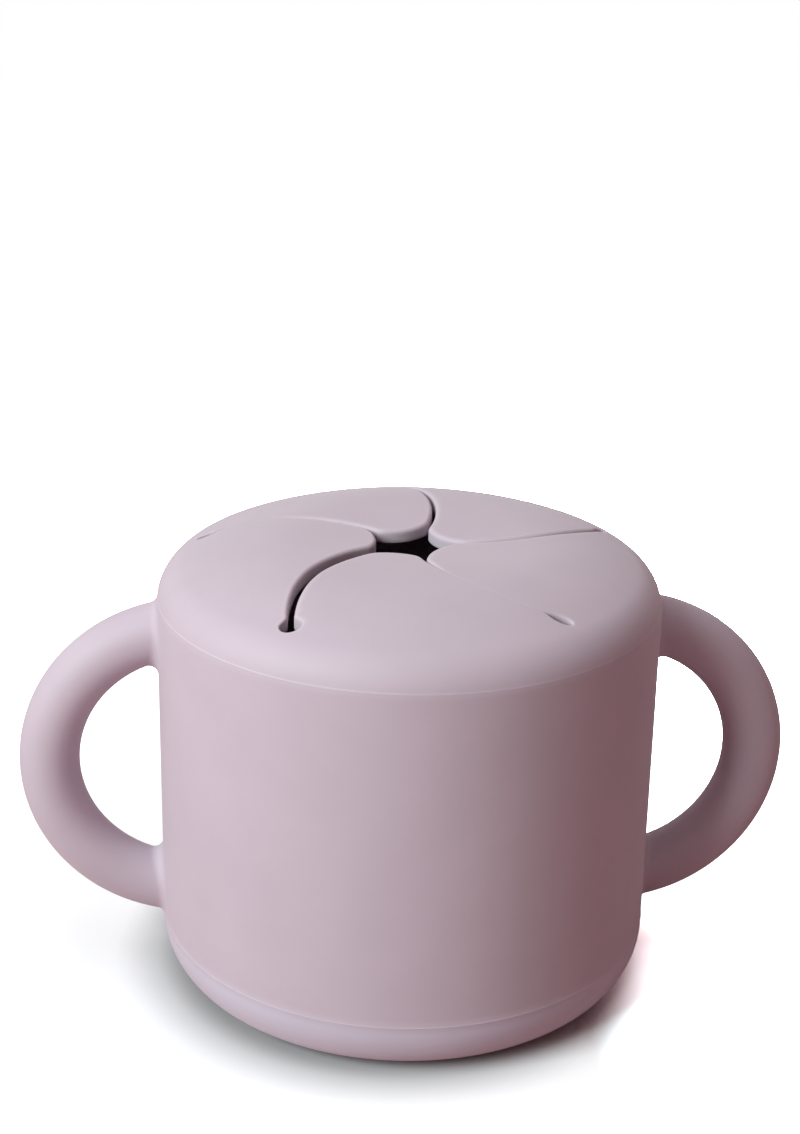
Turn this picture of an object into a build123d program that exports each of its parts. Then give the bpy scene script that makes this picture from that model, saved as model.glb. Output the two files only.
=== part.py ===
"""Toddler snack cup in soft silicone.

Two mouldings make it: a cup with a loop handle on each side, and a domed lid
that presses onto the cup's rim. Curved slits cut the top of the lid into five
flaps round a small star-shaped mouth. A child's hand pushes the flaps down to
reach a snack, and they spring back and keep the rest inside.

Sizes are millimetres and degrees. The origin is the middle of the underside,
+Z is up, and the handles lie along X.
"""

import os
from math import asin, cos, degrees, radians, sin, sqrt

from build123d import *

# Outer form, shared by the cup and the lid
body_radius = 45.0
overall_height = 82.6
base_edge_radius = 9.5
shoulder_radius = 7.6        # round edge of the lid
crown_radius = 49.0          # arc of the lid's top, seen from the side
crown_width = 24.0           # from the ring where the top is highest out to the wall
centre_dip = 0.7             # the flaps sag by this much towards the mouth
lid_height = 9.6             # from the seam, where the lid sits on the cup, to the top

# Cup
wall = 3.4
floor_thickness = 3.5
foot_width = 5.0             # ring that the cup stands on
foot_recess = 0.8
foot_edge_round = 0.5

# Handles: round loops moulded in one with the cup
handle_tube_radius = 5.4
handle_drop = 1.25           # loop's highest point, below the seam
handle_lift = 9.45           # loop's lowest point, above the underside
handle_sink = 5.7            # loop's centre, inside the cup's outer face
handle_root_round = 2.2

# Rim and lid: a low tongue on the rim enters a groove, and a plug ring goes inside
fit_clearance = 0.15
neck_thickness = 1.6
neck_height = 2.0
neck_round = 1.2
plug_depth = 4.5             # below the seam
plug_thickness = 1.2
seal_rib_round = 0.35
seal_rib_levels = (1.2, 3.2)  # below the seam

# Lid panel and flaps
panel_thickness = 2.4
flap_names = ("flap_rear_right", "flap_rear_left", "flap_left", "flap_front", "flap_right")
first_hole_angle = 18.0
end_hole_radius = 1.65
end_hole_margin = 0.25       # lid left between an end hole and the plug ring
slit_width = 1.0
slit_departure = 35.7        # slit's direction at its end hole, from the line to the axis
slit_pass = 0.4              # the slit's arc, carried on, passes the axis this far off
tip_radius = 9.0             # the five tips leave the star-shaped mouth between them
tip_corner_round = 4.5       # between the tip and the flap's first slit
tip_corner_distance = 11.26  # middle of that round, from the axis
tip_point_round = 3.0        # between the tip and the next slit
tip_point_distance = 9.31
lip_round = 0.7              # top edges of the flaps
hinge_roll_radius = 2.9      # rounded edge that a flap turns on
hinge_end_gap = 0.25         # between that edge and the end hole
hinge_relief = 1.5           # flap's corner cut back this far from the hinge line

# Worked out from the sizes above
seam_height = overall_height - lid_height
crown_flat_radius = body_radius - crown_width
crown_slope = degrees(asin(
    (body_radius - shoulder_radius - crown_flat_radius) / (crown_radius - shoulder_radius)
))
crown_centre_height = overall_height - crown_radius
shoulder_height = crown_centre_height + (crown_radius - shoulder_radius) * cos(radians(crown_slope))
dip_radius = (crown_flat_radius**2 + centre_dip**2) / (2 * centre_dip)
handle_loop_height = (seam_height - handle_drop + handle_lift) / 2
handle_loop_radius = (seam_height - handle_drop - handle_lift) / 2 - handle_tube_radius
handle_loop_offset = body_radius - handle_sink
inner_radius = body_radius - wall
neck_outer_radius = inner_radius + neck_thickness
plug_outer_radius = inner_radius - fit_clearance - seal_rib_round
plug_inner_radius = plug_outer_radius - plug_thickness
end_hole_distance = plug_inner_radius - end_hole_margin - end_hole_radius
flap_pitch = 360 / len(flap_names)
slit_radius = (end_hole_distance**2 - slit_pass**2) / (
    2 * (end_hole_distance * sin(radians(slit_departure)) + slit_pass)
)
slit_centre = Vector(
    end_hole_distance - slit_radius * sin(radians(slit_departure)),
    slit_radius * cos(radians(slit_departure)),
)
hinge_distance = end_hole_distance * cos(radians(flap_pitch / 2))
hinge_half_length = end_hole_distance * sin(radians(flap_pitch / 2)) - end_hole_radius - hinge_end_gap


def crown_height(radius, inset=0.0):
    """Height of the lid's top at a distance from the axis, or of its underside with an inset."""
    return crown_centre_height + sqrt((crown_radius - inset)**2 - (radius - crown_flat_radius)**2)


# The hinge line is straight and the crown is not, so it lies half way between the
# crown at the line's middle and the underside at the line's ends.
hinge_end_distance = sqrt(hinge_distance**2 + hinge_half_length**2)
hinge_height = (crown_height(hinge_distance) + crown_height(hinge_end_distance, panel_thickness)) / 2


def outer_form(inset=0.0):
    """Whole outside of the closed cup, or the same form with its top and side moved inwards."""
    dip_edge = dip_radius - inset
    dip_start = 90 + degrees(asin(crown_flat_radius / dip_edge))
    side = body_radius - inset
    with BuildPart() as form:
        with BuildSketch(Plane.XZ):
            with BuildLine():
                dip = CenterArc(
                    (crown_flat_radius, overall_height - dip_radius), dip_edge, dip_start, 90 - dip_start
                )
                crown = CenterArc(
                    (crown_flat_radius, crown_centre_height), crown_radius - inset, 90, -crown_slope
                )
                shoulder = CenterArc(
                    (body_radius - shoulder_radius, shoulder_height),
                    shoulder_radius - inset,
                    90 - crown_slope,
                    crown_slope - 90,
                )
                Line(shoulder @ 1, (side, base_edge_radius))
                CenterArc((side - base_edge_radius, base_edge_radius), base_edge_radius, 0, -90)
                Polyline((side - base_edge_radius, 0), (0, 0), dip @ 0)
            make_face()
        revolve(axis=Axis.Z)
    return form.part


def ring(inner, outer, bottom, top):
    """Plain round ring about the cup's axis."""
    return Pos(0, 0, bottom) * extrude(Circle(outer) - Circle(inner), top - bottom)


def rim_tongue(gap=0.0):
    """Low tongue on the cup's rim, or the groove round it with a gap on every side."""
    top = seam_height + neck_height + gap
    tongue = ring(inner_radius - gap, neck_outer_radius + gap, seam_height, top)
    outer_top_edge = tongue.edges().group_by(Axis.Z)[-1].sort_by(SortBy.RADIUS)[-1]
    return fillet(outer_top_edge, neck_round + gap)


def make_cup():
    """Cup with its two handles, hollow, with a stepped rim and a standing ring."""
    body = outer_form()
    loop = Rot(90, 0, 0) * Torus(handle_loop_radius, handle_tube_radius)
    handles = [Pos(side * handle_loop_offset, 0, handle_loop_height) * loop for side in (-1, 1)]
    cup = body + handles
    cup = fillet(new_edges(body, *handles, combined=cup), handle_root_round)
    cup = split(cup, bisect_by=Plane.XY.offset(seam_height), keep=Keep.BOTTOM)

    cup += rim_tongue()
    hollow = Pos(0, 0, floor_thickness) * extrude(Circle(inner_radius), overall_height)
    cup -= fillet(hollow.edges().group_by(Axis.Z)[0], base_edge_radius - wall)

    recess = extrude(Circle(body_radius - base_edge_radius - foot_width), foot_recess)
    cup -= fillet(recess.edges().group_by(Axis.Z)[-1], foot_edge_round)
    return cup


def make_lid():
    """Lid before it is slit: a crowned panel, a skirt, a groove for the rim and a ribbed plug ring."""
    lid = split(outer_form(), bisect_by=Plane.XY.offset(seam_height), keep=Keep.TOP)
    lid -= rim_tongue(fit_clearance)
    hollow = outer_form(panel_thickness) & extrude(Circle(plug_inner_radius), overall_height)
    lid -= hollow
    lid += ring(
        plug_inner_radius, plug_outer_radius, seam_height - plug_depth, seam_height + neck_height
    )
    for level in seal_rib_levels:
        lid += Pos(0, 0, seam_height - level) * Torus(plug_outer_radius, seal_rib_round)
    return lid


def meeting_point(centre_a, radius_a, centre_b, radius_b):
    """Where two circles cross, on the right hand of someone who looks from the first to the second."""
    across = centre_b - centre_a
    along = (radius_a**2 - radius_b**2 + across.length**2) / (2 * across.length)
    aside = sqrt(radius_a**2 - along**2)
    return centre_a + across.normalized() * along + across.normalized().rotate(Axis.Z, -90) * aside


def arc_about(centre, start, end):
    """The shorter arc about a centre, from one point to another."""
    middle = (start - centre) + (end - centre)
    return ThreePointArc(start, centre + middle.normalized() * (start - centre).length, end)


def flap_plan():
    """One flap seen from above: between two slits, from the hinge line to its rounded tip."""
    axis = Vector(0, 0)
    across_hole = degrees(end_hole_radius / slit_radius)
    first_start = (Vector(end_hole_distance, 0) - slit_centre).rotate(Axis.Z, across_hole)
    next_start = first_start.rotate(Axis.Z, flap_pitch)
    next_centre = slit_centre.rotate(Axis.Z, flap_pitch)
    first_edge = slit_radius - slit_width / 2
    next_edge = slit_radius + slit_width / 2
    corner = meeting_point(
        axis, tip_corner_distance, slit_centre, first_edge - tip_corner_round
    )
    point = meeting_point(
        axis, tip_point_distance, next_centre, next_edge + tip_point_round
    )
    tip = meeting_point(
        corner, tip_radius - tip_corner_round, point, tip_radius - tip_point_round
    )
    turns = [
        slit_centre + first_start.normalized() * first_edge,
        slit_centre + (corner - slit_centre).normalized() * first_edge,
        tip + (corner - tip).normalized() * tip_radius,
        tip + (point - tip).normalized() * tip_radius,
        next_centre + (point - next_centre).normalized() * next_edge,
        next_centre + next_start.normalized() * next_edge,
    ]
    with BuildSketch() as plan:
        with BuildLine():
            for index, centre in enumerate((slit_centre, corner, tip, point, next_centre)):
                arc_about(centre, turns[index], turns[index + 1])
            Line(turns[-1], turns[0])
        make_face()
        RegularPolygon(end_hole_distance, len(flap_names), mode=Mode.INTERSECT)
    return plan.sketch


def hinge_end_cuts():
    """Plan of what a flap leaves free at its hinge's ends: the end holes, and corners to turn past."""
    middle = hinge_half_length + end_hole_distance / 2
    with BuildSketch() as corners:
        with Locations((hinge_distance, middle), (hinge_distance, -middle)):
            Rectangle(2 * hinge_relief, end_hole_distance)
    with BuildSketch() as cuts:
        add(Rot(0, 0, flap_pitch / 2) * corners.sketch)
        with PolarLocations(end_hole_distance, 2, 0, flap_pitch, endpoint=True):
            Circle(end_hole_radius)
    return cuts.sketch


def hinge_roll(gap=0.0):
    """Rounded outer edge of a flap, or with a gap the seat that it turns in."""
    radius = hinge_roll_radius + gap
    length = 2 * (hinge_half_length + gap)
    roll = Rot(90, 0, 0) * Cylinder(radius, length)
    roll &= Pos(radius, 0, 0) * Box(2 * radius, length, 2 * radius)
    return Rot(0, 0, flap_pitch / 2) * Pos(hinge_distance, 0, hinge_height) * roll


def is_lip(edge):
    """True of an edge along a slit or the mouth, and not of one at the hinge or across the top."""
    middle = edge @ 0.5
    from_axis = Vector(middle.X, middle.Y).length
    return edge.geom_type != GeomType.CIRCLE and from_axis < hinge_distance - hinge_relief


def make_flap(lid):
    """One flap, cut from the lid's panel, with rounded upper lips and a rounded hinge edge."""
    lid = Rot(0, 0, 180) * lid  # the line where the turned faces close stays out of the flap
    plan = flap_plan() - hinge_end_cuts()
    flap = lid & (extrude(plan, overall_height) + hinge_roll())
    top = flap.faces().filter_by(lambda face: face.normal_at().Z > 0.9)
    return fillet(top.edges().filter_by(is_lip), lip_round)


def make_rim(lid):
    """What stays of the lid round the flaps: crown, skirt and plug ring, with the end holes."""
    opening = extrude(RegularPolygon(end_hole_distance, len(flap_names)), overall_height)
    end_hole = Pos(end_hole_distance, 0, 0) * Cylinder(end_hole_radius, 2 * overall_height)
    rim = lid - opening
    for index in range(len(flap_names)):
        turn = Rot(0, 0, index * flap_pitch)
        rim -= [turn * end_hole, turn * hinge_roll(fit_clearance)]
    return rim


os.makedirs("parts", exist_ok=True)
export_step(make_cup(), "parts/cup.step")

whole_lid = make_lid()
turned_lid = Rot(0, 0, first_hole_angle)
export_step(turned_lid * make_rim(whole_lid), "parts/lid_rim.step")

first_flap = make_flap(whole_lid)
for index, name in enumerate(flap_names):
    export_step(turned_lid * Rot(0, 0, index * flap_pitch) * first_flap, f"parts/{name}.step")
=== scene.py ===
# %% [markdown]
# # A toddler's snack cup in soft silicone
#
# The real thing is two mouldings in one pale lilac silicone: a cup with a loop handle on
# each side, and a domed lid whose top is slit into five springy flaps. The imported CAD
# model comes in first, as a fixed frame, and every piece below is made round it, in
# metres and in place. Sizes are read from the frame where it holds them. The rest are a
# few driving values in millimetres.

# %% Load the frame
from collections import Counter
from math import acos, asin, atan2, ceil, cos, degrees, hypot, pi, radians, sin, sqrt

import bmesh
import bpy
import numpy as np
from mathutils import Matrix, Vector
from mathutils.geometry import delaunay_2d_cdt


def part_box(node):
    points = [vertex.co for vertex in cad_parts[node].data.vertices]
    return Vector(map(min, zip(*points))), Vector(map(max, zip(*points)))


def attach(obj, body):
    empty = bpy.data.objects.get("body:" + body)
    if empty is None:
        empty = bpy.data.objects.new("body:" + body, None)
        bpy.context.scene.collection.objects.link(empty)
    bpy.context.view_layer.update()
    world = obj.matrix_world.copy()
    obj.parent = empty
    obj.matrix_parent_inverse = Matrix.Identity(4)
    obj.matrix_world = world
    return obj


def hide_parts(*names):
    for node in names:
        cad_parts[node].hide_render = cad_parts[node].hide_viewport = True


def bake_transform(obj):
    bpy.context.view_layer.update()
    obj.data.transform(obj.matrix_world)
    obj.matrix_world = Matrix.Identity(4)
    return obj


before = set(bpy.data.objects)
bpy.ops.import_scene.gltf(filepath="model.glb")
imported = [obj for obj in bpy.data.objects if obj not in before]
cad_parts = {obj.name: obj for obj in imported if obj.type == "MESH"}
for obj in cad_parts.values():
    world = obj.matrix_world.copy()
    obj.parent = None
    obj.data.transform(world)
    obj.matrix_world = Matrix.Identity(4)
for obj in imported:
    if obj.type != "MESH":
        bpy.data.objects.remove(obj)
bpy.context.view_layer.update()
mm = 0.001
flap_order = ["flap_rear_right", "flap_rear_left", "flap_left", "flap_front", "flap_right"]


def new_object(name, data):
    """An object of this name with this mesh, lamp or camera, linked to the scene."""
    obj = bpy.data.objects.new(name, data)
    bpy.context.scene.collection.objects.link(obj)
    return obj


print("nodes:", list(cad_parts))

# %% [markdown]
# ## The camera
#
# The camera could be set by eye, but a small turn of it changes every outline, so its
# place comes from a fit to the cup's outlines, seam, loops and slit ends in the
# photograph. It looks 26 degrees down from the front, a little from the left. The cup
# sits low in a tall picture, so the camera is aimed above it and needs no lens shift.

# %% Camera at the photograph's viewing angle
PICTURE_WIDTH, PICTURE_HEIGHT = 800, 1134
view_turn = radians(-5.735)  # round the cup, from straight in front
view_height = radians(26.344)  # above the horizon
view_distance = 368.17 * mm
view_roll = radians(1.29)
aim_height = 40.65 * mm  # point of the cup's axis that the distance is counted from
aim_pixel = (410.04, 751.97)  # where that point shows in the picture
focal_length = 1983.5  # in pixels of the picture


def turned(vector, axis, angle):
    return Matrix.Rotation(angle, 3, axis) @ vector


towards_camera = Vector((
    sin(view_turn) * cos(view_height), -cos(view_turn) * cos(view_height), sin(view_height)
))
side = Vector((cos(view_turn), sin(view_turn), 0))
upward = towards_camera.cross(side)
ahead = -towards_camera
pan = atan2(aim_pixel[0] - PICTURE_WIDTH / 2, focal_length)
tilt = atan2((aim_pixel[1] - PICTURE_HEIGHT / 2) * cos(pan), focal_length)
ahead, side = turned(ahead, upward, pan), turned(side, upward, pan)
ahead, upward = turned(ahead, side, tilt), turned(upward, side, tilt)
side, upward = turned(side, ahead, -view_roll), turned(upward, ahead, -view_roll)

lens = bpy.data.cameras.new("photo_camera")
lens.sensor_width = 36
lens.lens = focal_length / PICTURE_HEIGHT * lens.sensor_width
lens.clip_start = 10 * mm
camera = new_object("photo_camera", lens)
place = Vector((0, 0, aim_height)) + towards_camera * view_distance
facing = Matrix((side, upward, -ahead)).transposed().to_4x4()
camera.matrix_world = Matrix.Translation(place) @ facing
bpy.context.scene.camera = camera
print(f"lens {lens.lens:.1f} mm, camera at {[round(v / mm) for v in place]} mm")

# %% [markdown]
# ## Sizes
#
# Both mouldings share one outer form: a straight wall, a rounded base edge, a rounded
# shoulder, and a crown that is highest on a ring and dips a little towards the mouth.
# Overall sizes are read from the frame. What the frame can't give, such as a radius, is
# a driving value, in millimetres like every length down to the finished meshes.

# %% Sizes of the outer form, the cup and the lid
def frame_box(node):
    """Lowest and highest corner of a CAD piece's box, in mm."""
    return [[v / mm for v in corner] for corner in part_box(node)]


cup_high = frame_box("cup")[1]
rim_low = frame_box("lid_rim")[0]

body_radius = cup_high[1]
overall_height = max(frame_box(name)[1][2] for name in [*flap_order, "lid_rim"])
neck_height = 2.0
seam_height = cup_high[2] - neck_height
base_edge_radius = 9.5
shoulder_radius = 7.6
crown_radius = 49.0
crown_slope_width = 24.0  # from the wall in to the ring where the crown is highest
crown_flat_radius = body_radius - crown_slope_width
centre_dip = 0.7
crown_centre_height = overall_height - crown_radius
dip_radius = (crown_flat_radius**2 + centre_dip**2) / (2 * centre_dip)
shoulder_start = degrees(asin(
    (body_radius - shoulder_radius - crown_flat_radius) / (crown_radius - shoulder_radius)
))
shoulder_centre = (
    body_radius - shoulder_radius,
    crown_centre_height + (crown_radius - shoulder_radius) * cos(radians(shoulder_start)),
)
base_centre = (body_radius - base_edge_radius, base_edge_radius)

wall = 3.4
inner_radius = body_radius - wall
floor_thickness = 3.5
foot_width = 5.0
foot_recess = 0.8
neck_thickness = 1.6
neck_outer_radius = inner_radius + neck_thickness
neck_round = 1.2
clearance = 0.15
seal_rib_round = 0.35
seal_rib_levels = (1.2, 3.2)  # below the seam
plug_outer_radius = inner_radius - clearance - seal_rib_round
plug_thickness = 1.2
plug_inner_radius = plug_outer_radius - plug_thickness
plug_end_height = rim_low[2]
panel_thickness = 2.4
print(f"body radius {body_radius:.2f}, height {overall_height:.2f}, seam at {seam_height:.2f} mm")
print(f"shoulder from {shoulder_start:.1f} degrees, centre {shoulder_centre[1]:.2f} mm up")

# %% [markdown]
# ## A section to turn
#
# A moulded round body is easiest to judge from its section, so each one is drawn once,
# as a chain of arcs and lines on one side of the axis. Arcs are cut finely, because the
# silhouette shows every corner, and long straight runs get rows as wide as the columns
# round them, so that the faces stay nearly square where a handle is let in later.

# %% Draw a section from arcs and lines
ROW = 1.4  # mm between rows on a straight run
ARC_ROW = 0.9  # mm between rows on an arc
ARC_TURN = 9  # degrees between them, at most


def arc(centre, radius, start, end, row=ARC_ROW):
    """Points of an arc from one angle to another, in degrees, both ends included."""
    turn = abs(end - start)
    steps = max(ceil(radians(turn) * radius / row), ceil(turn / ARC_TURN))
    angles = [radians(start + (end - start) * i / steps) for i in range(steps + 1)]
    return [(centre[0] + radius * cos(a), centre[1] + radius * sin(a)) for a in angles]


def run(*corners, row=ROW):
    """Points of straight runs from corner to corner, both ends of each included."""
    points = []
    for start, end in zip(corners, corners[1:]):
        steps = max(1, ceil(hypot(end[0] - start[0], end[1] - start[1]) / row))
        points += [
            tuple(a + (b - a) * i / steps for a, b in zip(start, end)) for i in range(steps + 1)
        ]
    return points


def section(*parts):
    """One chain of points, with the doubled joints dropped."""
    chain = []
    for point in (point for part in parts for point in part):
        if not chain or hypot(point[0] - chain[-1][0], point[1] - chain[-1][1]) > 1e-4:
            chain.append(point)
    return chain


def bend_at(height):
    """Centre and radius of the outer form's arc at a height. The straight wall has none."""
    if height < base_centre[1]:
        return base_centre, base_edge_radius
    if height > shoulder_centre[1]:
        return shoulder_centre, shoulder_radius
    return None, None


def outer_radius(height):
    """Radius of the outer form at a height on its wall, base edge or shoulder."""
    centre, size = bend_at(height)
    return centre[0] + sqrt(size**2 - (height - centre[1]) ** 2) if centre else body_radius


# %% [markdown]
# ## Turning the section
#
# Blender's Spin tool or the Screw modifier could turn a section round the axis. Here one
# Geometry Nodes tree does it for both mouldings: a grid has a row for each point of the
# section and a column for each step round the axis, and every grid point takes its
# radius and height from the section point of its row.

# %% Build node trees
def add(tree, kind, inputs=None, **settings):
    """Add a node, give it its settings, and set or link its inputs by name or number."""
    made = tree.nodes.new(kind)
    for name, value in settings.items():
        setattr(made, name, value)
    for key, value in (inputs or {}).items():
        if isinstance(value, bpy.types.NodeSocket):
            tree.links.new(value, made.inputs[key])
        else:
            made.inputs[key].default_value = value
    return made


def maths(tree, operation, first, second=0.0):
    """Add one step of arithmetic to a tree. Gives its output."""
    return add(tree, "ShaderNodeMath", {0: first, 1: second}, operation=operation).outputs[0]


def geometry_tree(name, **sockets):
    """An empty Geometry Nodes tree with named inputs, its group input and its output."""
    tree = bpy.data.node_groups.new(name, "GeometryNodeTree")
    tree.interface.new_socket("Mesh", in_out="INPUT", socket_type="NodeSocketGeometry")
    for label, kind in sockets.items():
        tree.interface.new_socket(label, in_out="INPUT", socket_type="NodeSocket" + kind)
    tree.interface.new_socket("Mesh", in_out="OUTPUT", socket_type="NodeSocketGeometry")
    return tree, tree.nodes.new("NodeGroupInput"), tree.nodes.new("NodeGroupOutput")


def finish_tree(tree, group_in, group_out, geometry):
    """Close a tree with plain geometry and its material."""
    real = add(tree, "GeometryNodeRealizeInstances", {"Geometry": geometry})
    coated = add(tree, "GeometryNodeSetMaterial", {
        "Geometry": real.outputs[0], "Material": group_in.outputs["Finish"]
    })
    tree.links.new(coated.outputs[0], group_out.inputs[0])


turning, group_in, group_out = geometry_tree("turn a section", Columns="Int", Finish="Material")
drawn_section, columns = group_in.outputs["Mesh"], group_in.outputs["Columns"]
rows = add(turning, "GeometryNodeAttributeDomainSize", {
    "Geometry": drawn_section
}).outputs["Point Count"]
sheet_of_points = add(turning, "GeometryNodeMeshGrid", {
    "Vertices X": maths(turning, "ADD", columns, 1.0), "Vertices Y": rows
})
index = add(turning, "GeometryNodeInputIndex").outputs[0]
column = maths(turning, "FLOOR", maths(turning, "DIVIDE", index, rows))
drawn = add(turning, "GeometryNodeSampleIndex", {
    "Geometry": drawn_section, "Index": maths(turning, "MODULO", index, rows),
    "Value": add(turning, "GeometryNodeInputPosition").outputs[0],
}, data_type="FLOAT_VECTOR")
reach, _, level = add(turning, "ShaderNodeSeparateXYZ", {0: drawn.outputs[0]}).outputs
angle = maths(turning, "MULTIPLY", maths(turning, "DIVIDE", column, columns), 2 * pi)
new_place = add(turning, "ShaderNodeCombineXYZ", {
    0: maths(turning, "MULTIPLY", maths(turning, "COSINE", angle), reach),
    1: maths(turning, "MULTIPLY", maths(turning, "SINE", angle), reach),
    2: level,
})
turned_points = add(turning, "GeometryNodeSetPosition", {
    "Geometry": sheet_of_points.outputs["Mesh"], "Position": new_place.outputs[0]
})
closed = add(turning, "GeometryNodeMergeByDistance", {
    "Geometry": turned_points.outputs[0], "Distance": 0.001 * mm
})
finish_tree(turning, group_in, group_out, closed.outputs[0])
print("tree:", turning.name, "with", len(turning.nodes), "nodes")

# %% Run a tree on a mesh and keep the result as a plain mesh
def run_tree(obj, tree, **values):
    """Put the tree on the object, set its inputs, and turn the result into the object's mesh."""
    modifier = obj.modifiers.new(tree.name, "NODES")
    modifier.node_group = tree
    identifiers = {
        item.name: item.identifier for item in tree.interface.items_tree
        if item.item_type == "SOCKET" and item.in_out == "INPUT"
    }
    for label, value in values.items():
        modifier[identifiers[label]] = value
    bpy.context.view_layer.update()
    made = bpy.data.meshes.new_from_object(
        obj.evaluated_get(bpy.context.evaluated_depsgraph_get())
    )
    obj.modifiers.remove(modifier)
    made.materials.clear()
    made.materials.append(values["Finish"])
    made.polygons.foreach_set("material_index", [0] * len(made.polygons))
    obj.data = made
    made.name = obj.name


def chain_mesh(name, chain):
    """A section as a mesh of points and edges in the XZ plane, in metres."""
    mesh = bpy.data.meshes.new(name)
    mesh.from_pydata(
        [(r * mm, 0, z * mm) for r, z in chain], [(i, i + 1) for i in range(len(chain) - 1)], []
    )
    return mesh


def settle(work, mesh):
    """Turn all faces outwards, write the work into its mesh, and count its open edges."""
    bmesh.ops.recalc_face_normals(work, faces=work.faces)
    open_edges = sum(len(e.link_faces) != 2 for e in work.edges)
    work.to_mesh(mesh)
    work.free()
    return open_edges


def shade(obj, sharp_above=35):
    """Smooth shading, broken only where two faces meet at a real corner."""
    work = bmesh.new()
    work.from_mesh(obj.data)
    settle(work, obj.data)
    obj.data.shade_smooth()
    obj.data.set_sharp_from_angle(angle=radians(sharp_above))


# %% [markdown]
# ## The cup's wall, floor and rim
#
# The cup is one moulding: a wall with a standing ring under it and a stepped rim that
# the lid's groove goes over. Its whole section, outside and inside, is one chain from
# the axis to the axis, so the turned body is closed. Two faint lines show on the real
# one: the edge that the lid sits on, and a mould parting line just above the base
# edge. Both are part of the section, a fine round and a ridge a hair high.

# %% Draw and turn the cup
CUP_COLUMNS = 240
parting_height = 11.0
parting_ridge = 0.05
parting_half_width = 0.12
seam_edge_round = 0.16
seam_edge_start = 6  # degrees, near the shoulder's own slope at the seam
foot_round = 0.3
foot_chamfer = 0.15
neck_inner_round = 0.2
foot_radius = base_centre[0] - foot_width
inner_floor_round = base_edge_radius - wall
neck_top = seam_height + neck_height


def shoulder_angle(height):
    return degrees(asin((height - shoulder_centre[1]) / shoulder_radius))


edge_height = seam_height - seam_edge_round
edge_radius = outer_radius(edge_height)
# the material also paints the parting ridge and the seam's round lighter, painted highlights where
# light catches them
cup_section = section(
    run((0, foot_recess), (foot_radius - foot_round, foot_recess), row=5),
    arc((foot_radius - foot_round, foot_recess - foot_round), foot_round, 90, 0),
    [(foot_radius, foot_chamfer), (foot_radius + foot_chamfer, 0)],
    run((foot_radius + foot_chamfer, 0), (base_centre[0], 0)),
    arc(base_centre, base_edge_radius, -90, 0),
    [(body_radius, parting_height - parting_half_width),
     (body_radius + parting_ridge, parting_height),
     (body_radius, parting_height + parting_half_width)],
    run((body_radius, parting_height + parting_half_width), (body_radius, shoulder_centre[1])),
    arc(shoulder_centre, shoulder_radius, 0, shoulder_angle(edge_height), row=0.35),
    arc((edge_radius - seam_edge_round, edge_height), seam_edge_round, seam_edge_start, 90),
    run((edge_radius - seam_edge_round, seam_height), (neck_outer_radius, seam_height),
        (neck_outer_radius, neck_top - neck_round)),
    arc((neck_outer_radius - neck_round, neck_top - neck_round), neck_round, 0, 90, row=0.3),
    arc((inner_radius + neck_inner_round, neck_top - neck_inner_round), neck_inner_round, 90, 180),
    run((inner_radius, neck_top - neck_inner_round),
        (inner_radius, floor_thickness + inner_floor_round), row=4),
    arc((inner_radius - inner_floor_round, floor_thickness + inner_floor_round),
        inner_floor_round, 0, -90),
    run((inner_radius - inner_floor_round, floor_thickness), (0, floor_thickness), row=5),
)
silicone = bpy.data.materials.new("moulded silicone, pale lilac")
cup = new_object("cup_moulding", chain_mesh("cup section", cup_section))
run_tree(cup, turning, Columns=CUP_COLUMNS, Finish=silicone)
print(f"cup section {len(cup_section)} points, turned body {len(cup.data.vertices)} points")

# %% [markdown]
# ## The loop handles and their roots
#
# Each handle is a round tube bent into a circle that runs into the wall at both ends,
# with a soft round all the way round each root. A boolean union and a bevel would leave
# slivers there. Instead each root is worked out as a tool maker would: a ball as large
# as the round is rolled along the corner, touching tube and wall. Where it touches the
# tube the tube ends, where it touches the wall the wall's window begins, and the ball's
# own arc joins the two.

# %% Roll a ball round each root
ROUND_TUBE = 64  # points round the tube
ALONG_TUBE = 84  # rows along the loop, between its roots
ROOT_ROWS = 7  # rows across each root's round
ROOT_SEARCH = (30, 112)  # degrees along the loop, between which a root lies
HALVINGS = 40  # of that stretch, until the ball's place is exact
root_round = 1.7
tube_radius = 5.4
loop_low = 9.45  # the loop's lowest point
loop_below_seam = 1.25  # its highest point, counted down from the seam
loop_high = seam_height - loop_below_seam
loop_radius = (loop_high - loop_low) / 2 - tube_radius
loop_centre = np.array([cup_high[0] - loop_radius - tube_radius, 0, (loop_high + loop_low) / 2])


def wall_gap(point):
    """Distance of a point from the outer form, and the direction straight off it."""
    x, y, z = point
    radius = hypot(x, y)
    centre, size = bend_at(z)
    if not centre:
        return radius - body_radius, np.array([x / radius, y / radius, 0])
    off = hypot(radius - centre[0], z - centre[1])
    out = (radius - centre[0]) / off
    return off - size, np.array([x / radius * out, y / radius * out, (z - centre[1]) / off])


def tube_point(turn, spin, radius):
    """Point at an angle along the loop and an angle round the tube, and the tube's own normal."""
    outward = np.array([cos(turn), 0, sin(turn)])
    normal = cos(spin) * outward + sin(spin) * np.array([0, 1, 0])
    return loop_centre + loop_radius * outward + radius * normal, normal


def root_turn(spin, end):
    """Angle along the loop at which the ball touches the wall; end is 1 for the upper root."""
    near, far = (radians(angle) for angle in ROOT_SEARCH)
    for _ in range(HALVINGS):
        middle = (near + far) / 2
        gap, _ = wall_gap(tube_point(end * middle, spin, tube_radius + root_round)[0])
        near, far = (middle, far) if gap > root_round else (near, middle)
    return end * (near + far) / 2


def root_arc(spin, end):
    """The ball's arc from the tube to the wall."""
    centre, normal = tube_point(root_turn(spin, end), spin, tube_radius + root_round)
    _, off_wall = wall_gap(centre)
    start, stop = -normal, -off_wall
    opening = acos(float(np.clip(start @ stop, -1, 1)))
    points = []
    for i in range(1, ROOT_ROWS + 1):
        share = i / ROOT_ROWS
        between = sin((1 - share) * opening) * start + sin(share * opening) * stop
        points.append(centre + root_round * between / sin(opening))
    return points


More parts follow.
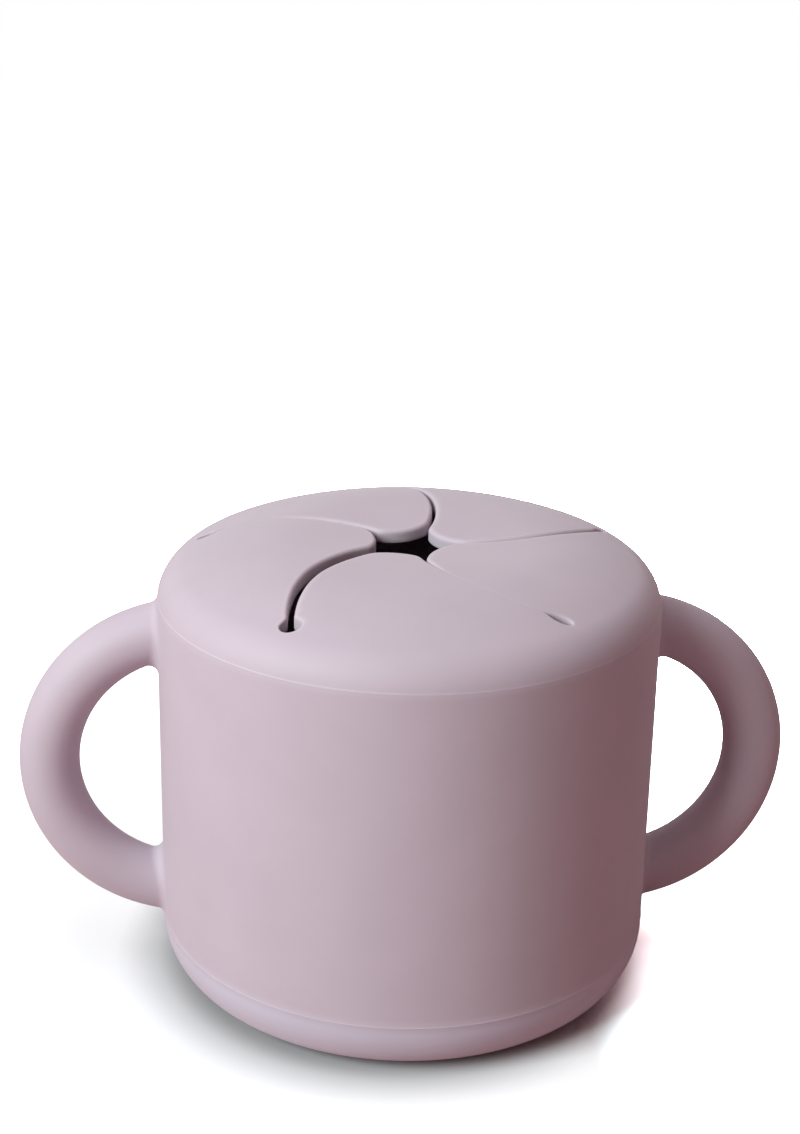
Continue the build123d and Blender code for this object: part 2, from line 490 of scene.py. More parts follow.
def handle_column(spin):
    """One line of points along the handle, from the wall over the loop and back to the wall."""
    low, high = root_turn(spin, -1), root_turn(spin, 1)
    tube = [
        tube_point(low + (high - low) * i / ALONG_TUBE, spin, tube_radius)[0]
        for i in range(ALONG_TUBE + 1)
    ]
    return root_arc(spin, -1)[::-1] + tube + root_arc(spin, 1)


handle_grid = np.array([handle_column(2 * pi * i / ROUND_TUBE) for i in range(ROUND_TUBE)])
print(f"handle: {handle_grid.shape[1]} rows, roots reach {handle_grid[:, -1, 2].max():.2f} "
      f"and {handle_grid[:, 0, 2].min():.2f} mm up")

# %% [markdown]
# ## Letting the handles into the wall
#
# The wall has to open exactly along the line that the ball leaves on it. Round each
# root a small window of the wall's own faces is taken out, unrolled flat, and filled
# with triangles between the window's edge and that line. The flat picture shows the way
# round the wall and the way up its section, so nothing is stretched.

# %% Weld both handles to the wall
TINY = 1e-3  # mm or square mm, taken as nothing


def unrolled(point, facing):
    """Way round and way up the outer form, in mm, from the middle of a handle's side."""
    x, y, z = point
    angle = (atan2(y, x) - facing + pi) % (2 * pi) - pi
    centre, size = bend_at(z)
    if centre:
        z = centre[1] + size * atan2(z - centre[1], hypot(x, y) - centre[0])
    return angle * body_radius, z


def distance_to_loop(point, loop):
    """Distance of a flat point from a closed line, and whether it is inside it."""
    a, b = loop, np.roll(loop, -1, axis=0)
    along = np.clip(((point - a) * (b - a)).sum(1) / ((b - a) ** 2).sum(1), 0, 1)
    distance = np.hypot(*(a + along[:, None] * (b - a) - point).T).min()
    crossing = (a[:, 1] > point[1]) != (b[:, 1] > point[1])
    cut = a[:, 0] + (point[1] - a[:, 1]) * (b[:, 0] - a[:, 0]) / np.where(
        b[:, 1] == a[:, 1], 1, b[:, 1] - a[:, 1]
    )
    return distance, bool((crossing & (point[0] < cut)).sum() % 2)


def open_window(work, loop, facing, room=1.6, keep_off=0.55, skin=0.2):
    """Take out the wall's faces round a root. Gives the points that stay, and its edges."""
    low, high = loop.min(0) - room, loop.max(0) + room
    high[1] = min(high[1], unrolled((edge_radius, 0, edge_height), 0)[1] + TINY)
    taken = []
    for face in work.faces:
        centre = np.array(face.calc_center_median()) / mm
        if centre[0] * cos(facing) <= 0 or abs(wall_gap(centre)[0]) > skin:
            continue
        flat = np.array(unrolled(centre, facing))
        if (flat > low).all() and (flat < high).all():
            taken.append(face)

    # dictionaries keep their order, so every run gives the same mesh
    points = dict.fromkeys(vertex for face in taken for vertex in face.verts)
    uses = Counter(edge for face in taken for edge in face.edges)
    rim = [edge for edge, times in uses.items() if times == 1]
    rim_points = {vertex for edge in rim for vertex in edge.verts}
    bmesh.ops.delete(work, geom=taken, context="FACES_ONLY")
    for edge in dict.fromkeys(e for v in points for e in v.link_edges if not e.link_faces):
        work.edges.remove(edge)

    kept = []
    for vertex in points:
        flat = np.array(unrolled(np.array(vertex.co) / mm, facing))
        distance, inside = distance_to_loop(flat, loop)
        if vertex in rim_points or (not inside and distance > keep_off):
            kept.append(vertex)
    return kept, rim


def weld_handle(work, facing):
    """Add one handle, and fill the wall between its roots and the windows."""
    turn = Matrix.Rotation(facing, 3, "Z")
    columns = [[turn @ Vector(point) for point in column] for column in handle_grid]
    loops = {
        end: np.array([unrolled(np.array(column[end]), facing) for column in columns])
        for end in (0, -1)
    }
    windows = {end: open_window(work, loop, facing) for end, loop in loops.items()}
    columns = [[work.verts.new(point * mm) for point in column] for column in columns]
    for i, column in enumerate(columns):
        following = columns[(i + 1) % ROUND_TUBE]
        for j in range(len(column) - 1):
            work.faces.new((column[j], following[j], following[j + 1], column[j + 1]))
    for end, (kept, rim) in windows.items():
        ring = [column[end] for column in columns]
        order = {vertex: i for i, vertex in enumerate(kept)}
        flat = [Vector(unrolled(np.array(v.co) / mm, facing)) for v in kept]
        flat += [Vector(point) for point in loops[end]]
        edges = [tuple(order[v] for v in edge.verts) for edge in rim]
        edges += [(len(kept) + i, len(kept) + (i + 1) % len(ring)) for i in range(len(ring))]
        points, _, triangles, origins, _, _ = delaunay_2d_cdt(flat, edges, [], 0, 1e-6)
        real = [(kept + ring)[origin[0]] for origin in origins]
        for triangle in triangles:
            a, b, c = (points[i] for i in triangle)
            inside = distance_to_loop(np.array((a + b + c) / 3), loops[end])[1]
            if not inside and (b - a).cross(c - a) > TINY:
                work.faces.new([real[i] for i in triangle])


work = bmesh.new()
work.from_mesh(cup.data)
for facing in (0, pi):
    weld_handle(work, facing)
loose = [v for v in work.verts if not v.link_faces]
bmesh.ops.delete(work, geom=loose, context="VERTS")
open_edges = settle(work, cup.data)
shade(cup)
print(f"cup with handles: {len(cup.data.polygons)} faces, {open_edges} open edges, "
      f"{len(loose)} points of the old wall dropped")

# %% [markdown]
# ## The lid's ring
#
# The lid is one moulding too. Its flaps bend, so its top is made as five separate flaps,
# and what stays still is this ring: the shoulder, the skirt with a groove that takes the
# cup's rim, and a plug with two sealing ribs that presses against the wall inside. The
# ring and the flaps meet on a circle where the crown runs into the shoulder. Nothing
# shows there on the real one, so both sides have the same points on that circle and end
# in a strip a twentieth of a millimetre wide, which keeps the shading of both the same.

# %% Draw and turn the ring
RING_COLUMNS = 360  # one for each degree, as along the flaps' outer edges
SUPPORT = 0.05  # mm, width of the strips beside the shared circle
UNDER_FLAPS = 0.02  # mm, how far the ring stays below the flaps' lower faces
plug_end_round = 0.25
cut_radius = shoulder_centre[0] + shoulder_radius * sin(radians(shoulder_start))


def form_height(radius, depth):
    """Height of the crown at a radius, or of a face at a depth below it."""
    crown = crown_radius if radius > crown_flat_radius else dip_radius
    return overall_height - crown + sqrt(
        (crown - depth) ** 2 - (radius - crown_flat_radius) ** 2
    )


cut_height = form_height(cut_radius, 0)
cut_angle = 90 - shoulder_start
support_turn = degrees(SUPPORT / shoulder_radius)
groove_outer = neck_outer_radius + clearance
groove_round = neck_round + clearance
groove_top = neck_top + clearance
groove_inner = inner_radius - clearance
plug_top = form_height(plug_inner_radius, panel_thickness)
plug_round_height = plug_end_height + plug_end_round


def rib(level):
    """A sealing rib, half round, on the plug's outer face."""
    return arc((plug_outer_radius, seam_height - level), seal_rib_round, 90, -90, row=0.1)


ring_section = section(
    [(cut_radius, cut_height)],
    arc(shoulder_centre, shoulder_radius, cut_angle - support_turn,
        shoulder_angle(seam_height), row=0.6),
    run((outer_radius(seam_height), seam_height), (groove_outer, seam_height),
        (groove_outer, groove_top - groove_round)),
    arc((groove_outer - groove_round, groove_top - groove_round), groove_round, 0, 90, row=0.3),
    run((groove_outer - groove_round, groove_top), (groove_inner, groove_top),
        (groove_inner, seam_height), (plug_outer_radius, seam_height)),
    *[rib(level) for level in seal_rib_levels],
    run((plug_outer_radius, seam_height - seal_rib_levels[-1] - seal_rib_round),
        (plug_outer_radius, plug_round_height)),
    arc((plug_outer_radius - plug_end_round, plug_round_height), plug_end_round, 0, -90),
    arc((plug_inner_radius + plug_end_round, plug_round_height), plug_end_round, 270, 180),
    run((plug_inner_radius, plug_round_height), (plug_inner_radius, plug_top - UNDER_FLAPS)),
    [(cut_radius, form_height(cut_radius, panel_thickness) - UNDER_FLAPS),
     (cut_radius, cut_height - SUPPORT), (cut_radius, cut_height)],
)
ring = new_object("lid_ring", chain_mesh("lid ring section", ring_section))
run_tree(ring, turning, Columns=RING_COLUMNS, Finish=silicone)
print(f"ring section {len(ring_section)} points, "
      f"cut at {cut_radius:.2f} mm, {cut_height:.2f} mm up")

# %% [markdown]
# ## The outline of a flap
#
# Five curved slits, each a part of a circle that just misses the lid's axis, run from
# a small hole near the edge to the mouth. Between two slits lies one flap: a hook with
# one soft corner, a broad round tip and a finer point, all tangent to each other. The
# slits aren't alike in the photograph. The silicone has taken a set, so some stand open
# at the mouth and others are pressed shut, and every slit gets its own width at both
# ends.

# %% Draw the slits and the flaps' outlines
FLAPS = 5
PITCH = 72.0
first_hole_angle = 18.0
end_hole_distance = 38.0
slit_departure = radians(35.7)
slit_pass = 0.4  # how far its circle passes beside the axis
slit_radius = (end_hole_distance**2 - slit_pass**2) / (
    2 * (end_hole_distance * sin(slit_departure) + slit_pass)
)
tip_radius, tip_corner_round, tip_point_round = 9.0, 4.5, 3.0
tip_corner_distance, tip_point_distance = 11.26, 9.31  # of these two rounds from the axis
lip_round = 0.7
hole_lip_round = 0.4
shut_lip_round = 0.04
hole_half_length = 1.65

# of each slit, counted from the one that ends at the right: half its width at the hole, half
# its width at the mouth, half the hole's width, all in mm, and the share of it that is shut
slit_shapes = [
    (0.20, 0.22, 0.75, 0.0),
    (0.20, 0.36, 0.80, 0.0),
    (0.02, 0.30, 0.70, 0.35),
    (0.45, 1.40, 1.85, 0.0),
    (0.01, 0.10, 0.80, 0.75),
]


def planar(length, angle):
    return np.array([length * cos(angle), length * sin(angle)])


def unit(vector):
    return vector / np.hypot(*vector)


slit_centre = planar(end_hole_distance, 0) + planar(slit_radius, pi / 2 + slit_departure)
next_slit_centre = np.array(Matrix.Rotation(radians(PITCH), 2) @ Vector(slit_centre))


def meeting_point(centre_a, radius_a, centre_b, radius_b):
    """Right-hand crossing of two circles, looking from the first centre to the second."""
    apart = centre_b - centre_a
    distance = np.hypot(*apart)
    along = (distance**2 + radius_a**2 - radius_b**2) / (2 * distance)
    across = sqrt(radius_a**2 - along**2)
    direction = apart / distance
    return centre_a + along * direction + across * np.array([direction[1], -direction[0]])


print(f"slit radius {slit_radius:.2f} mm, centre at {slit_centre.round(2)}")

# %% Outline of one flap
hole_angle = -(pi / 2 - slit_departure)  # of the hole's middle, seen from the slit's centre
OPEN_BY = 0.9  # share of a slit at which it has its width at the mouth
SHUT_NECK, OPEN_NECK = 2.4, 1.4  # where the hole's width ends in the slit, in half holes
LIP_FROM = 0.8  # where the slit's own lip starts, in half holes
LIP_GROWTH = 1.5  # mm over which it grows
LIP_OPENING = 0.2  # share of a shut slit over which its lip grows as it opens
HOLE_ROWS = 10  # steps round the outer half of a hole
NEAR_STEP, NEAR_END = 0.2, 3.2  # mm, steps along a slit close to its hole, and their end
FAR_START, FAR_ROWS = 3.4, 54  # mm, and the number of rows from there to the mouth


def half_gap(slit, along, length):
    """Half the width of a slit at a distance from its hole's middle, in towards the mouth."""
    at_hole, at_mouth, hole_half, shut = slit_shapes[slit % FLAPS]
    if along < 0:
        return hole_half * sqrt(max(1 - (along / hole_half_length) ** 2, 0))
    opened = min(max((along / length - shut) / (OPEN_BY - shut), 0), 1)
    gap = at_hole + (at_mouth - at_hole) * opened
    neck = min(along / ((SHUT_NECK if shut else OPEN_NECK) * hole_half_length), 1)
    return gap + (hole_half - gap) * (0.5 + 0.5 * cos(pi * neck))


def lip_size(slit, along, length):
    """Round of the top edge at a place on a slit: small where two edges are pressed together."""
    shut = slit_shapes[slit % FLAPS][3]
    past_hole = min(max((along - LIP_FROM * hole_half_length) / LIP_GROWTH, 0), 1)
    opened = min(max((along / length - shut) / LIP_OPENING, 0), 1) if shut else 1
    on_slit = shut_lip_round + (lip_round - shut_lip_round) * opened
    return hole_lip_round + (on_slit - hole_lip_round) * past_hole


def slit_side(slit, centre, start_angle, inward_end, sign):
    """Points and lip rounds along one side of a slit, from its hole to the tip's round."""
    end_angle = atan2(*(inward_end - centre)[::-1])
    length = ((start_angle - end_angle) % (2 * pi)) * slit_radius
    places = [-hole_half_length * cos(radians(90 * i / HOLE_ROWS)) for i in range(HOLE_ROWS + 1)]
    places += list(np.arange(NEAR_STEP, NEAR_END, NEAR_STEP))
    places += list(np.linspace(FAR_START, length, FAR_ROWS))
    side = []
    for along in places:
        angle = start_angle - along / slit_radius
        reach = slit_radius + sign * half_gap(slit, along, length)
        side.append((centre + planar(reach, angle), lip_size(slit, along, length)))
    return side


def arc_between(centre, start, end, step=0.35):
    """Points of the shorter arc between two points, its ends left out."""
    radius = np.hypot(*(start - centre))
    first, last = atan2(*(start - centre)[::-1]), atan2(*(end - centre)[::-1])
    turn = (last - first + pi) % (2 * pi) - pi
    steps = max(4, ceil(abs(turn) * radius / step))
    return [centre + planar(radius, first + turn * i / steps) for i in range(1, steps)]


def flap_outline(index):
    """Outline of a flap, the round of its top edge at each point, which way that round goes
    in, and the angle at which its edge on the lid's circle starts."""
    first_edge = slit_radius - slit_shapes[index][1]
    next_edge = slit_radius + slit_shapes[(index + 1) % FLAPS][1]
    axis = np.zeros(2)
    corner = meeting_point(axis, tip_corner_distance, slit_centre, first_edge - tip_corner_round)
    point = meeting_point(axis, tip_point_distance, next_slit_centre, next_edge + tip_point_round)
    tip = meeting_point(corner, tip_radius - tip_corner_round, point, tip_radius - tip_point_round)
    turns = [
        slit_centre + first_edge * unit(corner - slit_centre),
        tip + tip_radius * unit(corner - tip),
        tip + tip_radius * unit(point - tip),
        next_slit_centre + next_edge * unit(point - next_slit_centre),
    ]
    first = slit_side(index, slit_centre, hole_angle, turns[0], -1)
    following = slit_side(index + 1, next_slit_centre, hole_angle + radians(PITCH), turns[3], 1)
    round_tip = arc_between(point, turns[3], turns[2]) + [turns[2]]
    round_tip += arc_between(tip, turns[2], turns[1]) + [turns[1]]
    round_tip += arc_between(corner, turns[1], turns[0])

    # a short cut runs from the end of each hole out to the lid's circle
    end_angle = hole_angle + hole_half_length / slit_radius
    outward = planar(1, end_angle + pi / 2)
    hole_end = slit_centre + planar(slit_radius, end_angle)
    along = hole_end @ outward
    reach = -along + sqrt(along**2 + cut_radius**2 - hole_end @ hole_end)
    steps = [hole_lip_round + 0.1, 0.95, reach - SUPPORT * 1.3]
    cut = [hole_end + outward * step for step in steps]
    shared = hole_end + outward * reach
    start = atan2(shared[1], shared[0])
    rim = [planar(cut_radius, start + radians(i)) for i in range(int(PITCH) + 1)]
    turn = np.array(Matrix.Rotation(radians(PITCH), 2))
    outline = [(p, 0.0) for p in rim] + [(turn @ p, 0.0) for p in cut[::-1]]
    outline += following + [(p, lip_round) for p in round_tip] + first[::-1]
    outline += [(p, 0.0) for p in cut]

    # each point's way in is square to the outline, half way between its two edges
    points = np.array([p for p, _ in outline])
    rounds = np.array([r for _, r in outline])
    edges = np.roll(points, -1, axis=0) - points
    normals = np.stack([-edges[:, 1], edges[:, 0]], 1) / np.hypot(*edges.T)[:, None]
    inward = normals + np.roll(normals, 1, axis=0)
    inward /= np.hypot(*inward.T)[:, None]
    for end, way in ((hole_end, outward), (turn @ hole_end, turn @ outward)):
        inward[np.argmin(np.hypot(*(points - end).T))] = way
    return points, rounds, inward, start


points, _, _, first_cut_angle = flap_outline(0)
print(f"outline of {len(points)} points, cut starts at {degrees(first_cut_angle):.2f} degrees")

# %% [markdown]
# ## A flat blank for each flap
#
# A flap could be drawn straight on the crown, but its edge is easier to round while it
# lies flat. So each one starts as a flat blank: rings of points follow the outline down
# round its soft top edge, down the side and round the lower edge, and the faces above
# and below are filled with even triangles half a millimetre wide. How far a point is
# into the rounded edge is kept on it as "lip", because the thin edge shows lighter: the
# silicone paints it lighter there, painted light for light shining through the thin edge.

# %% Build the flat blanks
GRID = 0.55  # mm between the points that fill a face
RIM_ROOM = 0.3  # mm that they keep from the lid's circle
EDGE_ROWS = 5  # rows round the top edge
under_round = 0.15


def fill_points(loop, radius_limit):
    """Even points inside a closed line, none of them beyond a radius."""
    low, high = loop.min(0), loop.max(0)
    inside = []
    for row, y in enumerate(np.arange(low[1], high[1], GRID * sqrt(3) / 2)):
        for x in np.arange(low[0] + (row % 2) * GRID / 2, high[0], GRID):
            if hypot(x, y) > radius_limit:
                continue
            distance, within = distance_to_loop(np.array([x, y]), loop)
            if within and distance > 0.5 * GRID:
                inside.append((x, y))
    return inside


def blank_mesh(name, index):
    """A flat flap with rounded edges, as a closed mesh in metres, its depth downwards."""
    outline, rounds, inward, start = flap_outline(index)
    count = len(outline)
    soft = np.where(rounds > 0, under_round, 0)
    low_edge = panel_thickness - soft
    # of each ring, from the top to the underside: how far in and how deep it lies, how much lip
    profile = [(rounds, 0 * rounds, 1.0)]
    for step in range(1, EDGE_ROWS + 1):
        angle = radians(90 - 90 * step / EDGE_ROWS)
        profile.append((rounds * (1 - cos(angle)), rounds * (1 - sin(angle)), 1 - 0.1 * step))
    for share in (0.33, 0.67, 1.0):
        profile.append((0 * rounds, rounds + (low_edge - rounds) * share, 0.0))
    for angle in (radians(45), radians(90)):
        profile.append((soft * (1 - cos(angle)), low_edge + soft * sin(angle), 0.0))

    thin = np.clip((rounds - shut_lip_round) / (hole_lip_round - shut_lip_round), 0, 1)
    places, lips, faces = [], [], []
    for offset, depth, lip in profile:
        ring = outline + inward * offset[:, None]
        places += [(x * mm, y * mm, -d * mm) for (x, y), d in zip(ring, depth)]
        lips += list(lip * thin)
    for ring in range(len(profile) - 1):
        for i in range(count):
            j = (i + 1) % count
            a, b = ring * count, (ring + 1) * count
            faces.append((a + i, b + i, b + j, a + j))
    for ring, depth, flip in ((0, 0.0, False), (len(profile) - 1, panel_thickness, True)):
        border = np.array(places[ring * count:(ring + 1) * count])[:, :2] / mm
        extra = fill_points(border, cut_radius - RIM_ROOM)
        extra += [
            tuple(planar(cut_radius - SUPPORT, start + radians(i))) for i in range(1, int(PITCH))
        ]
        flat = [Vector(p) for p in border] + [Vector(p) for p in extra]
        edges = [(i, (i + 1) % count) for i in range(count)]
        points, _, triangles, origins, _, _ = delaunay_2d_cdt(flat, edges, [], 1, 1e-7)
        base = len(places)
        places += [(x * mm, y * mm, -depth * mm) for x, y in extra]
        lips += [0.0] * len(extra)
        real = [o[0] + ring * count if o[0] < count else base + o[0] - count for o in origins]
        for triangle in triangles:
            corners = [real[i] for i in triangle]
            faces.append(corners[::-1] if flip else corners)
    mesh = bpy.data.meshes.new(name)
    mesh.from_pydata(places, [], faces)
    mesh.attributes.new("lip", "FLOAT", "POINT").data.foreach_set("value", lips)
    work = bmesh.new()
    work.from_mesh(mesh)
    bmesh.ops.remove_doubles(work, verts=work.verts, dist=1e-4 * mm)
    open_edges = settle(work, mesh)
    print(f"{name}: {len(mesh.polygons)} faces, {open_edges} open edges")
    return mesh


blanks = [blank_mesh(name, index) for index, name in enumerate(flap_order)]

# %% [markdown]
# ## Laying the flaps on the crown
#
# A second node tree does what bending a sheet over a form would do: every point of a
# blank keeps its place seen from above and takes the height of the crown at its radius,
# less its depth. Then the flap is turned to its place round the axis.

# %% Node tree for laying a flap
laying, group_in, group_out = geometry_tree(
    "lay a flap on the crown", Turn="Float", Finish="Material"
)
flat_place = add(laying, "GeometryNodeInputPosition").outputs[0]
x, y, minus_depth = add(laying, "ShaderNodeSeparateXYZ", {0: flat_place}).outputs


def squared(value):
    return maths(laying, "MULTIPLY", value, value)


radius = maths(laying, "SQRT", maths(laying, "ADD", squared(x), squared(y)))
on_crown = maths(laying, "GREATER_THAN", radius, crown_flat_radius * mm)
form = add(laying, "GeometryNodeSwitch", {
    "Switch": on_crown, "False": dip_radius * mm, "True": crown_radius * mm
}, input_type="FLOAT").outputs[0]
aside = maths(laying, "SUBTRACT", radius, crown_flat_radius * mm)
layer = maths(laying, "ADD", form, minus_depth)
fall = maths(laying, "SQRT", maths(laying, "SUBTRACT", squared(layer), squared(aside)))
height = maths(laying, "ADD", maths(laying, "SUBTRACT", overall_height * mm, form), fall)
laid = add(laying, "GeometryNodeSetPosition", {
    "Geometry": group_in.outputs["Mesh"],
    "Position": add(laying, "ShaderNodeCombineXYZ", {0: x, 1: y, 2: height}).outputs[0],
})
turned_flap = add(laying, "GeometryNodeTransform", {
    "Geometry": laid.outputs[0],
    "Rotation": add(laying, "ShaderNodeCombineXYZ", {2: group_in.outputs["Turn"]}).outputs[0],
})
finish_tree(laying, group_in, group_out, turned_flap.outputs[0])
print("tree:", laying.name, "with", len(laying.nodes), "nodes")

# %% Lay the five flaps
flaps = {}
for index, (name, blank) in enumerate(zip(flap_order, blanks)):
    flap = new_object("lid_" + name, blank)
    run_tree(flap, laying, Turn=radians(first_hole_angle + PITCH * index), Finish=silicone)
    shade(flap)
    flaps[name] = flap
    print(f"{flap.name}: top {max(v.co.z for v in flap.data.vertices) / mm:.2f} mm up")

ring.data.transform(Matrix.Rotation(radians(first_hole_angle) + first_cut_angle, 4, "Z"))
shade(ring)
print(f"ring: {len(ring.data.polygons)} faces")

# %% [markdown]
# ## The silicone
#
# Cup and lid are compression-moulded from one food-grade silicone, coloured in the mass.
# Its tool is spark-eroded, so the surface is matt with a broad, weak gloss and a grain
# that only shows as a slight unevenness. It is drawn a little coarser than it is, since
# its real size is far below a pixel. Three things vary over its colour: a faint mottling;
# painted light on the thin edges of the flaps, standing for light through the thin
# silicone, and painted highlights on the parting line and the lid's seam, all lighter;
# and painted cool light on the band below the parting line, which is a touch paler.

# %% Silicone, compression moulded, matt
def linear(code):
    """A colour written as sRGB hex, in linear values."""
    parts = [int(code[i:i + 2], 16) / 255 for i in (0, 2, 4)]
    return [*(v / 12.92 if v <= 0.04045 else ((v + 0.055) / 1.055) ** 2.4 for v in parts), 1.0]


def node_tree(owner):
    """The emptied node tree of a material or a world."""
    owner.use_nodes = True
    owner.node_tree.nodes.clear()
    return owner.node_tree


def ramp(tree, source, start, end, at_start, at_end, kind="LINEAR"):
    """A value that goes from one level to another between two places, in mm."""
    return add(tree, "ShaderNodeMapRange", {
        "Value": source, "From Min": start * mm, "From Max": end * mm,
        "To Min": at_start, "To Max": at_end,
    }, interpolation_type=kind).outputs[0]


def mix(tree, factor, a, b):
    """A blend of two colours. Gives its output."""
    return add(tree, "ShaderNodeMix", {
        "Factor": factor, "A": a, "B": b
    }, data_type="RGBA").outputs["Result"]


# the silicone's own colour; a paler, bluer one painted on the base band as cool light; and a
# lighter one painted on thin edges as light and on two lines as highlights
LILAC, LILAC_PAINTED_COOL_LIGHT, LILAC_PAINTED_LIGHT = "bbabb7", "c0b6c5", "d8ccd6"
MOTTLING_SIZE, GRAIN_SIZE, GRAIN_DEPTH = 14, 0.9, 0.03  # mm
WALL_MARGIN = 5  # mm inside and outside the wall's face, where what is drawn on it ends
# how far the thin flap edges go towards the lighter colour: painted light, standing for light
# through the thin silicone
lip_painted_light = 0.15
# height of each painted highlight line and half its width, in mm, and how far it goes to the
# painted light colour
painted_highlight_lines = ((parting_height, 0.16, 0.35), (seam_height, 0.18, 0.55))

tree = node_tree(silicone)
where = add(tree, "ShaderNodeTexCoord").outputs["Object"]
x, y, z = add(tree, "ShaderNodeSeparateXYZ", {0: where}).outputs
mottling = add(tree, "ShaderNodeTexNoise", {
    "Vector": where, "Scale": 1 / (MOTTLING_SIZE * mm), "Detail": 3.0
})
brightness = add(tree, "ShaderNodeMapRange", {
    "Value": mottling.outputs["Fac"], "From Min": 0.3, "From Max": 0.7,
    "To Min": 0.975, "To Max": 1.025,
})

# the painted cool light of the lower band and the two painted highlight lines are on the
# wall only: not on the handles, and not on a flap that is bent down past their height
flat = add(tree, "ShaderNodeCombineXYZ", {0: x, 1: y})
from_axis = add(tree, "ShaderNodeVectorMath", {
    0: flat.outputs[0]
}, operation="LENGTH").outputs["Value"]
off_handles = ramp(tree, from_axis, body_radius + 0.5, body_radius + WALL_MARGIN, 1.0, 0.0)
off_flaps = maths(tree, "GREATER_THAN", from_axis, (body_radius - WALL_MARGIN) * mm)
on_wall = maths(tree, "MULTIPLY", off_flaps, off_handles)
# painted cool light: below the parting line the colour is mixed to the paler, bluer one
below = ramp(tree, z, parting_height - 0.1, parting_height + 0.1, off_handles, 0.0)
skin = mix(tree, below, linear(LILAC), linear(LILAC_PAINTED_COOL_LIGHT))
# painted light on the thin flap edges, then painted highlights on the two lines
lip = add(tree, "ShaderNodeAttribute", attribute_name="lip")
edge = maths(tree, "MULTIPLY", lip.outputs["Fac"], lip_painted_light)
for line_height, half_width, strength in painted_highlight_lines:
    off_line = maths(tree, "ABSOLUTE", maths(tree, "SUBTRACT", z, line_height * mm))
    on_line = ramp(tree, off_line, 0.0, half_width, strength, 0.0)
    edge = maths(tree, "MAXIMUM", edge, maths(tree, "MULTIPLY", on_line, on_wall))
colour = add(tree, "ShaderNodeVectorMath", {
    0: mix(tree, edge, skin, linear(LILAC_PAINTED_LIGHT)), "Scale": brightness.outputs[0]
}, operation="SCALE")
grain = add(tree, "ShaderNodeTexNoise", {
    "Vector": where, "Scale": 1 / (GRAIN_SIZE * mm), "Detail": 2.0
})
relief = add(tree, "ShaderNodeBump", {
    "Height": grain.outputs["Fac"], "Distance": GRAIN_DEPTH * mm, "Strength": 0.5
})
surface = add(tree, "ShaderNodeBsdfPrincipled", {
    "Base Color": colour.outputs[0], "Roughness": 0.55, "IOR": 1.41,
    "Specular IOR Level": 0.3, "Normal": relief.outputs[0],
    "Sheen Weight": 0.2, "Sheen Roughness": 0.5,
})
add(tree, "ShaderNodeOutputMaterial", {"Surface": surface.outputs[0]})
print("material:", silicone.name, "on", [o.name for o in (cup, ring, *flaps.values())])

# %% [markdown]
# ## Floor, background and light
#
# The photograph is a product shot: one large soft light from the left, a white room
# round it, and a white floor that fades into a white background, with a soft shadow and
# a narrow dark line where the cup stands. The floor is a plain white disc. It looks
# brighter to the camera than it is, so that the open floor goes to white as it does in
# the photograph and its shadows stay.
# Close to the cup the floor's colour is darkened as well: a painted shadow and a painted dark line
# deepen the real ones.

# %% Floor
FLOOR_RADIUS, FLOOR_SIDES = 1.2, 96  # metres, and the disc's corners
# how many times as bright the floor shows: in the open, and where the cup hides the key
OPEN_TINT, HIDDEN_TINT = (1.01, 1.0, 1.02, 1.0), (5.6, 6.8, 6.9, 1.0)
paper = bpy.data.materials.new("white paper backdrop")
tree = node_tree(paper)
where = add(tree, "ShaderNodeTexCoord").outputs["Object"]
x = add(tree, "ShaderNodeSeparateXYZ", {0: where}).outputs["X"]
from_cup = add(tree, "ShaderNodeVectorMath", {
    0: where, 1: (-2 * mm, 0, 0)
}, operation="DISTANCE").outputs["Value"]
gain = ramp(tree, x, -60, 30, 1.02, 1.21, "SMOOTHSTEP")  # a little less light to the right
# the first two steps darken the floor close to the cup: a painted dark line where the cup stands
# and a painted soft shadow round it
for start, end, at_start, at_end in (
    (38, 45, 0.60, 1.0),  # the line where the cup stands
    (41, 54, 0.55, 1.0),  # the soft shadow round it
    (58, 300, 1.0, 6.0),  # far off, where the lamps fade
):
    level = ramp(tree, from_cup, start, end, at_start, at_end, "SMOOTHSTEP")
    gain = maths(tree, "MULTIPLY", gain, level)
tint = mix(tree, ramp(tree, x, 30, 51, 0.0, 1.0, "SMOOTHSTEP"), OPEN_TINT, HIDDEN_TINT)
bright = add(tree, "ShaderNodeVectorMath", {0: tint, "Scale": gain}, operation="SCALE")
ray = add(tree, "ShaderNodeLightPath")
seen = mix(tree, ray.outputs["Is Camera Ray"], linear("c8a4a6"), bright.outputs[0])
matt = add(tree, "ShaderNodeBsdfDiffuse", {"Color": seen})
add(tree, "ShaderNodeOutputMaterial", {"Surface": matt.outputs[0]})

corners = [planar(FLOOR_RADIUS, 2 * pi * i / FLOOR_SIDES) for i in range(FLOOR_SIDES)]
mesh = bpy.data.meshes.new("backdrop_floor")
mesh.from_pydata([(*corner, 0.0) for corner in corners], [], [list(range(FLOOR_SIDES))])
floor = new_object("backdrop_floor", mesh)
floor.data.materials.append(paper)

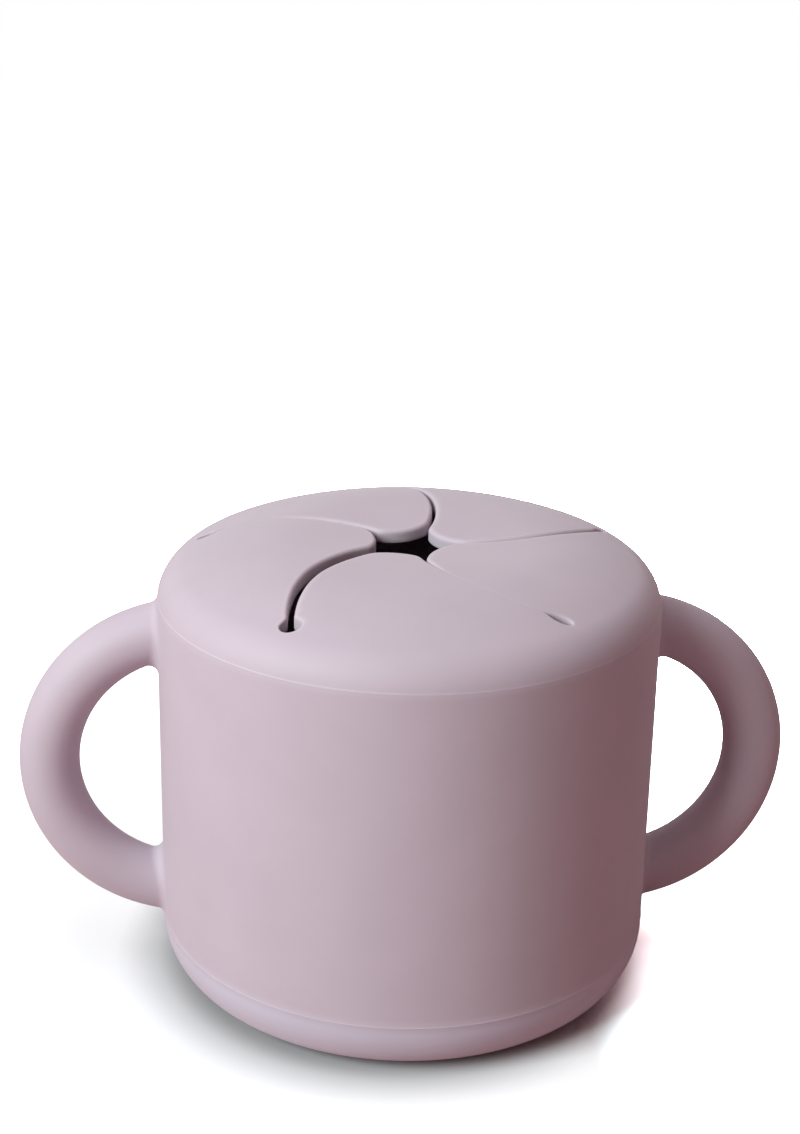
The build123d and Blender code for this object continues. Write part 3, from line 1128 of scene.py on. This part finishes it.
# %% Lamps and the white room
def area_lamp(name, place, aim, size, power, tint):
    """A square softbox at a place, facing a point, both in mm. Power in watts."""
    light = bpy.data.lights.new(name, "AREA")
    light.shape, light.size, light.energy = "SQUARE", size * mm, power
    light.color = linear(tint)[:3]
    facing = (Vector(aim) - Vector(place)).to_track_quat("-Z", "Y").to_matrix().to_4x4()
    new_object(name, light).matrix_world = Matrix.Translation(Vector(place) * mm) @ facing


for lamp in (
    ("key_left", (-626, -422, 490), (0, 0, 40), 420, 8.75, "ecfffc"),
    ("soft_top", (-60, 40, 800), (0, 0, 40), 800, 2.3, "fdfbff"),
    ("soft_rear", (-150, 700, 500), (0, 0, 60), 700, 0.45, "ffffff"),
):
    area_lamp(*lamp)

world = bpy.data.worlds.new("white room")
tree = node_tree(world)
ray = add(tree, "ShaderNodeLightPath")
room = add(tree, "ShaderNodeBackground", {"Color": linear("ffc5c1"), "Strength": 0.18})
backdrop = add(tree, "ShaderNodeBackground", {"Color": (1, 1, 1, 1), "Strength": 1.0})
direct = ray.outputs["Is Camera Ray"]
for kind in ("Is Glossy Ray", "Is Transmission Ray"):
    direct = maths(tree, "MAXIMUM", direct, ray.outputs[kind])
shown = add(tree, "ShaderNodeMixShader", {0: direct, 1: room.outputs[0], 2: backdrop.outputs[0]})
add(tree, "ShaderNodeOutputWorld", {"Surface": shown.outputs[0]})
bpy.context.scene.world = world
bpy.context.scene.view_settings.view_transform = "Standard"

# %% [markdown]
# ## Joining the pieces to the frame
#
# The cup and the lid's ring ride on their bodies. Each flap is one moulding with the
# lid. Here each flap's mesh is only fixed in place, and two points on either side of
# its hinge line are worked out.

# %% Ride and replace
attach(cup, "cup")
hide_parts("cup")
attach(ring, "lid")
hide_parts("lid_rim")
BEND_START, BEND_END = 32.0, 27.0  # mm from the axis, on either side of the hinge line
hinge_distance = end_hole_distance * cos(radians(PITCH / 2))
hinge_height = form_height(hinge_distance, panel_thickness / 2)
for index, (name, flap) in enumerate(flaps.items()):
    direction = planar(1, radians(first_hole_angle + PITCH * (index + 0.5)))
    start, end = (
        Vector((*(direction * reach), hinge_height)) * mm for reach in (BEND_START, BEND_END)
    )
    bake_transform(flap)
    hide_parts(name)
